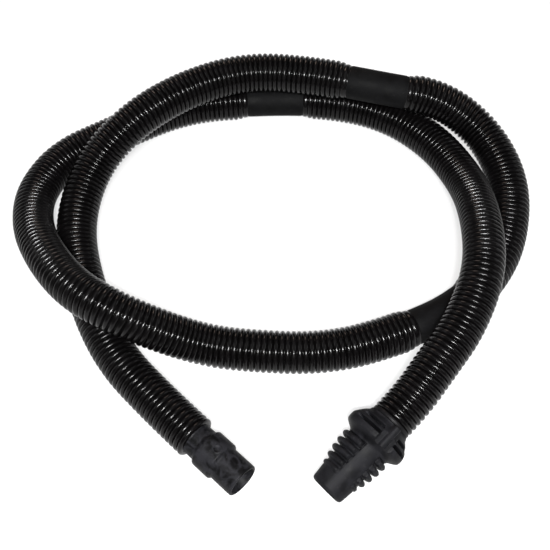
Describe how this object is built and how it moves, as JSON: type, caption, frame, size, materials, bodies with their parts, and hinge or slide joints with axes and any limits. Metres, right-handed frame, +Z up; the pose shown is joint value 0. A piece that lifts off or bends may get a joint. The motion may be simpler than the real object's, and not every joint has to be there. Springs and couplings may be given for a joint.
{
  "type": "vacuum hose",
  "caption": "Corrugated pool vacuum hose lying in two loops, with smooth cuffs along it, a plain stepped cuff at one end and a swivelling ribbed connector at the other.",
  "frame": {"origin": "on the ground, below the middle of the coiled hose's bounding box", "axes": "+Z up, +X to the right along the longer side of the loops, +Y towards the doubled back run; the two hose ends are on the -Y side"},
  "size_m": [0.5247, 0.4743, 0.083],
  "materials": {
    "hose_plastic": "glossy",
    "cuff_plastic": "satin",
    "connector_plastic": "satin",
    "bush_plastic": "satin",
    "seal_rubber": "matte"
  },
  "bodies": {
    "hose": {"hose_span_01": "hose_plastic", "hose_span_02": "hose_plastic", "hose_span_03": "hose_plastic", "hose_span_04": "hose_plastic", "hose_span_05": "hose_plastic", "hose_span_06": "hose_plastic", "hose_span_07": "hose_plastic", "hose_span_08": "hose_plastic", "hose_span_09": "hose_plastic", "hose_span_10": "hose_plastic", "hose_span_11": "hose_plastic", "hose_span_12": "hose_plastic", "hose_span_13": "hose_plastic", "hose_span_14": "hose_plastic", "hose_span_15": "hose_plastic", "hose_span_16": "hose_plastic", "hose_span_17": "hose_plastic", "hose_span_18": "hose_plastic", "hose_span_19": "hose_plastic", "hose_span_20": "hose_plastic", "hose_span_21": "hose_plastic", "hose_span_22": "hose_plastic", "hose_span_23": "hose_plastic", "hose_span_24": "hose_plastic", "hose_span_25": "hose_plastic", "mid_cuff_1": "hose_plastic", "mid_cuff_2": "hose_plastic", "mid_cuff_3": "hose_plastic", "plain_cuff": "cuff_plastic", "swivel_bush": "bush_plastic", "seal_ring": "seal_rubber"},
    "connector": {"connector": "connector_plastic"}
  },
  "joints": [
    {"name": "connector_swivel", "type": "hinge", "parent": "hose", "child": "connector", "pos_m": [0.09347, -0.18013, 0.03161], "axis": [-0.7023, -0.675, -0.2263], "continuous": true}
  ]
}
